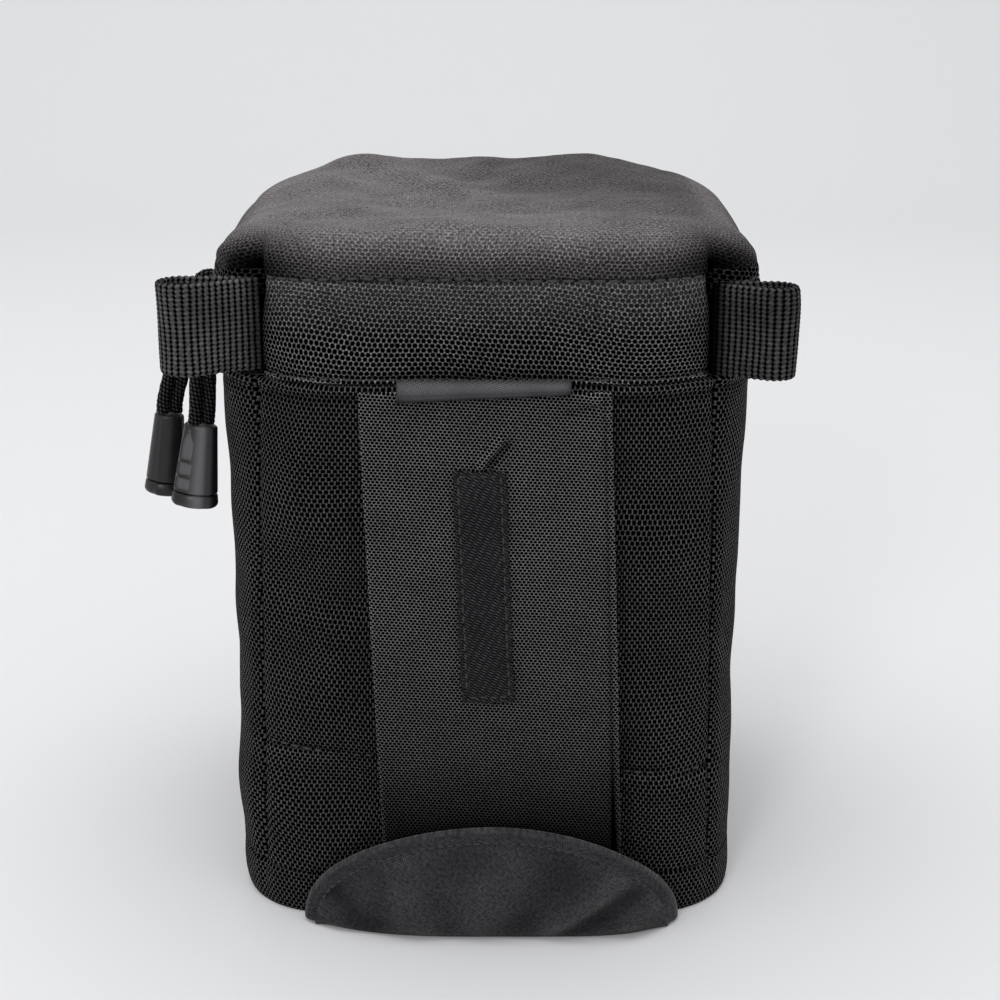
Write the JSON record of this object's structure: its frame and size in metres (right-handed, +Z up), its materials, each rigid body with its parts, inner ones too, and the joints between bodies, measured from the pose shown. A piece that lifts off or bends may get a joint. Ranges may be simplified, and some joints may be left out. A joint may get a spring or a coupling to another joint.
{
  "type": "lens pouch",
  "caption": "Padded pouch for a camera lens, with a zipped fold-back lid, cord zipper pulls, a belt strap behind and a webbing loop at each rear corner.",
  "frame": {"origin": "middle of the flat base, which rests on the floor", "axes": "+Z up; the belt side with the strap faces -Y; the zipper pulls hang on the -X side"},
  "size_m": [0.1443, 0.1183, 0.1536],
  "materials": {
    "pack_cloth": "coarse black basket-weave nylon, matt",
    "lid_cloth": "finer woven nylon, charcoal, soft folds",
    "strap_cloth": "fine woven nylon, charcoal, matt",
    "flap_cloth": "soft fine cloth, near black",
    "webbing": "ribbed nylon webbing",
    "grey_tape": "smooth grey binding tape",
    "foam": "closed-cell foam",
    "lining": "brushed grey lining",
    "zip_tape": "black woven tape",
    "zip_teeth": "black moulded plastic",
    "slider_metal": "black enamelled die-cast metal",
    "pull_cord": "black braided cord",
    "pull_plastic": "dark grey moulded plastic, soft sheen",
    "label_cloth": "black satin-woven tape, blank"
  },
  "bodies": {
    "pouch": {"base_panel": "pack_cloth", "base_pad": "foam", "back_panel": "pack_cloth", "left_panel": "pack_cloth", "front_panel": "pack_cloth", "right_panel": "pack_cloth", "back_pad": "foam", "left_pad": "foam", "front_pad": "foam", "right_pad": "foam", "body_lining": "lining", "back_band": "pack_cloth", "zip_band": "pack_cloth", "zip_tape_lower": "zip_tape", "zip_teeth_lower": "zip_teeth", "webbing_loop_left": "webbing", "webbing_loop_right": "webbing", "loop_patch": "lining"},
    "lid": {"lid_top": "lid_cloth", "lid_lining": "lining", "lid_pad": "foam", "lid_skirt": "pack_cloth", "zip_tape_upper": "zip_tape", "zip_teeth_upper": "zip_teeth"},
    "slider_rear": {"zip_slider_rear": "slider_metal"},
    "slider_front": {"zip_slider_front": "slider_metal"},
    "pull_rear": {"pull_cord_rear": "pull_cord", "pull_grip_rear": "pull_plastic", "pull_cap_rear": "pull_plastic"},
    "pull_front": {"pull_cord_front": "pull_cord", "pull_grip_front": "pull_plastic", "pull_cap_front": "pull_plastic"},
    "belt_strap": {"strap_face": "strap_cloth", "strap_stiffener": "foam", "strap_backing": "strap_cloth", "hook_patch": "zip_teeth", "label_patch": "label_cloth", "grip_tape": "grey_tape"},
    "end_flap": {"end_flap_face": "flap_cloth", "end_flap_binding": "flap_cloth"}
  },
  "joints": [
    {"name": "lid_fold", "type": "hinge", "parent": "pouch", "child": "lid", "pos_m": [0, -0.054, 0.144], "axis": [1, 0, 0], "range_deg": [0, 100]},
    {"name": "slider_rear_run", "type": "slide", "parent": "pouch", "child": "slider_rear", "axis": [0, 1, 0], "range_m": [-0.004, 0]},
    {"name": "slider_front_run", "type": "slide", "parent": "pouch", "child": "slider_front", "axis": [0, 1, 0], "range_m": [0, 0.029]},
    {"name": "pull_rear_swing", "type": "hinge", "parent": "slider_rear", "child": "pull_rear", "pos_m": [-0.06225, -0.021, 0.133], "axis": [0, 1, 0], "range_deg": [-2, 120]},
    {"name": "pull_front_swing", "type": "hinge", "parent": "slider_front", "child": "pull_front", "pos_m": [-0.06225, -0.009, 0.133], "axis": [0, 1, 0], "range_deg": [-8, 110]},
    {"name": "strap_lift", "type": "hinge", "parent": "pouch", "child": "belt_strap", "pos_m": [0, -0.0563, 0.1226], "axis": [-1, 0, 0], "range_deg": [0, 120]},
    {"name": "flap_unfold", "type": "hinge", "parent": "belt_strap", "child": "end_flap", "pos_m": [0, -0.0643, 0.0004], "axis": [1, 0, 0], "range_deg": [0, 150]}
  ]
}
